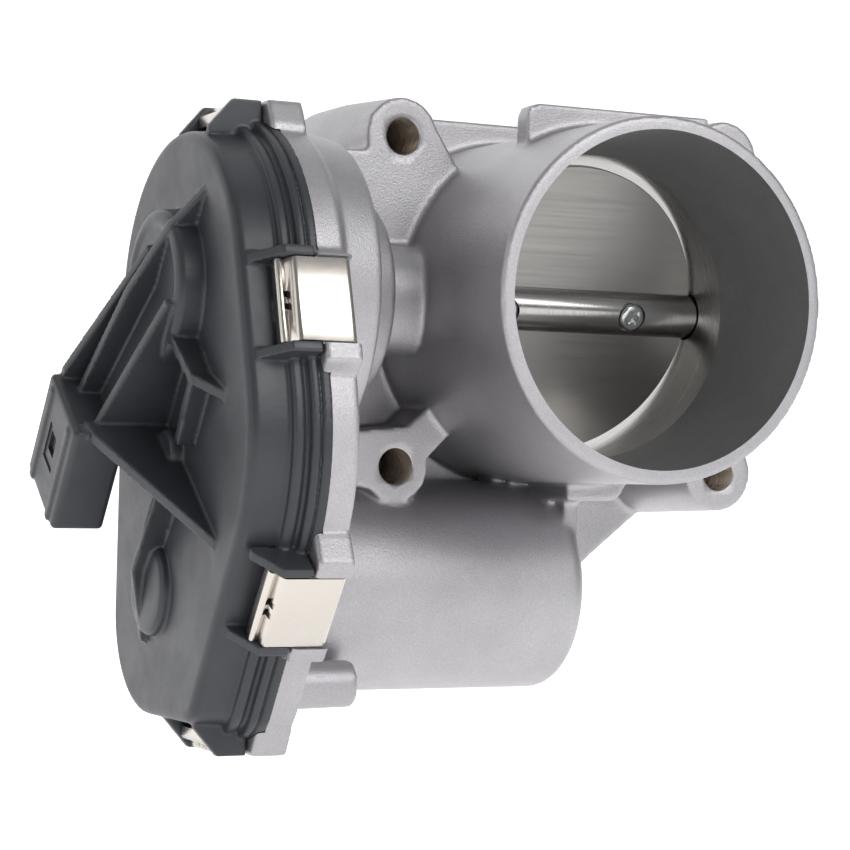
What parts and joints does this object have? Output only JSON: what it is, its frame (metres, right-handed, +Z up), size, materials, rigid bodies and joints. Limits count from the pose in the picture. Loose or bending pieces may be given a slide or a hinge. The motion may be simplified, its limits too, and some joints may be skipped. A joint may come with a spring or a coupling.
{
  "type": "throttle body",
  "caption": "Electronic throttle body: cast housing with an air bore, butterfly plate on a geared motor drive, clipped plastic gear cover with connector.",
  "frame": {"origin": "centre of the air bore on the rear mounting face", "axes": "+X along the throttle shaft, away from the gear housing; +Y out of the mounting face, along the air flow; +Z up, with the motor below the bore"},
  "size_m": [0.1466, 0.0821, 0.1285],
  "materials": {
    "cast_aluminium": "sand-cast and shot-blasted, with machined faces and bore",
    "brushed_plate": "brushed satin",
    "machined_steel": "ground",
    "black_plastic": "moulded satin",
    "clip_steel": "bright rolled",
    "seal_rubber": "matte",
    "gear_plastic": "moulded",
    "magnet": "sintered",
    "copper": "wound copper on a steel core",
    "circuit_board": "solder mask",
    "tinned_terminal": "tin plated"
  },
  "bodies": {
    "housing": {"connector_terminal_1": "tinned_terminal", "connector_terminal_2": "tinned_terminal", "connector_terminal_3": "tinned_terminal", "connector_terminal_4": "tinned_terminal", "connector_terminal_5": "tinned_terminal", "connector_terminal_6": "tinned_terminal", "cover_clip_bottom": "clip_steel", "cover_clip_far_lower": "clip_steel", "cover_clip_far_upper": "clip_steel", "cover_clip_near_lower": "clip_steel", "cover_clip_near_upper": "clip_steel", "cover_clip_top": "clip_steel", "cover_gasket": "seal_rubber", "gear_cover": "black_plastic", "intermediate_gear_pin": "machined_steel", "motor_brush_1": "magnet", "motor_brush_2": "magnet", "motor_can": "clip_steel", "motor_end_plate": "clip_steel", "motor_magnet_1": "magnet", "motor_magnet_2": "magnet", "motor_plate_screw_1": "machined_steel", "motor_plate_screw_2": "machined_steel", "return_spring": "machined_steel", "sensor_board": "circuit_board", "shaft_bearing_far_side": "machined_steel", "shaft_bearing_gear_side": "machined_steel", "shaft_end_plug": "machined_steel", "shaft_seal": "seal_rubber", "throttle_casting": "cast_aluminium"},
    "throttle": {"throttle_shaft": "machined_steel", "throttle_plate": "brushed_plate", "plate_screw_gear_side": "machined_steel", "plate_screw_far_side": "machined_steel", "sector_gear": "gear_plastic", "sensor_rotor": "magnet"},
    "intermediate": {"intermediate_gear": "gear_plastic"},
    "motor_rotor": {"motor_armature": "copper", "motor_pinion": "machined_steel"}
  },
  "joints": [
    {"name": "throttle_turn", "type": "hinge", "parent": "housing", "child": "throttle", "pos_m": [0, -0.04, 0], "axis": [1, 0, 0], "range_deg": [-9, 73], "stiffness_Nm_per_rad": 0.25},
    {"name": "intermediate_turn", "type": "hinge", "parent": "housing", "child": "intermediate", "pos_m": [-0.066, -0.03821, -0.03245], "axis": [1, 0, 0], "range_deg": [-224, 28]},
    {"name": "motor_turn", "type": "hinge", "parent": "housing", "child": "motor_rotor", "pos_m": [-0.03, -0.0255, -0.0565], "axis": [1, 0, 0], "range_deg": [-130, 1045]}
  ],
  "couplings": [
    {"joint": "intermediate_turn", "follows": "throttle_turn", "ratio": -3.0625},
    {"joint": "motor_turn", "follows": "throttle_turn", "ratio": 14.292}
  ]
}
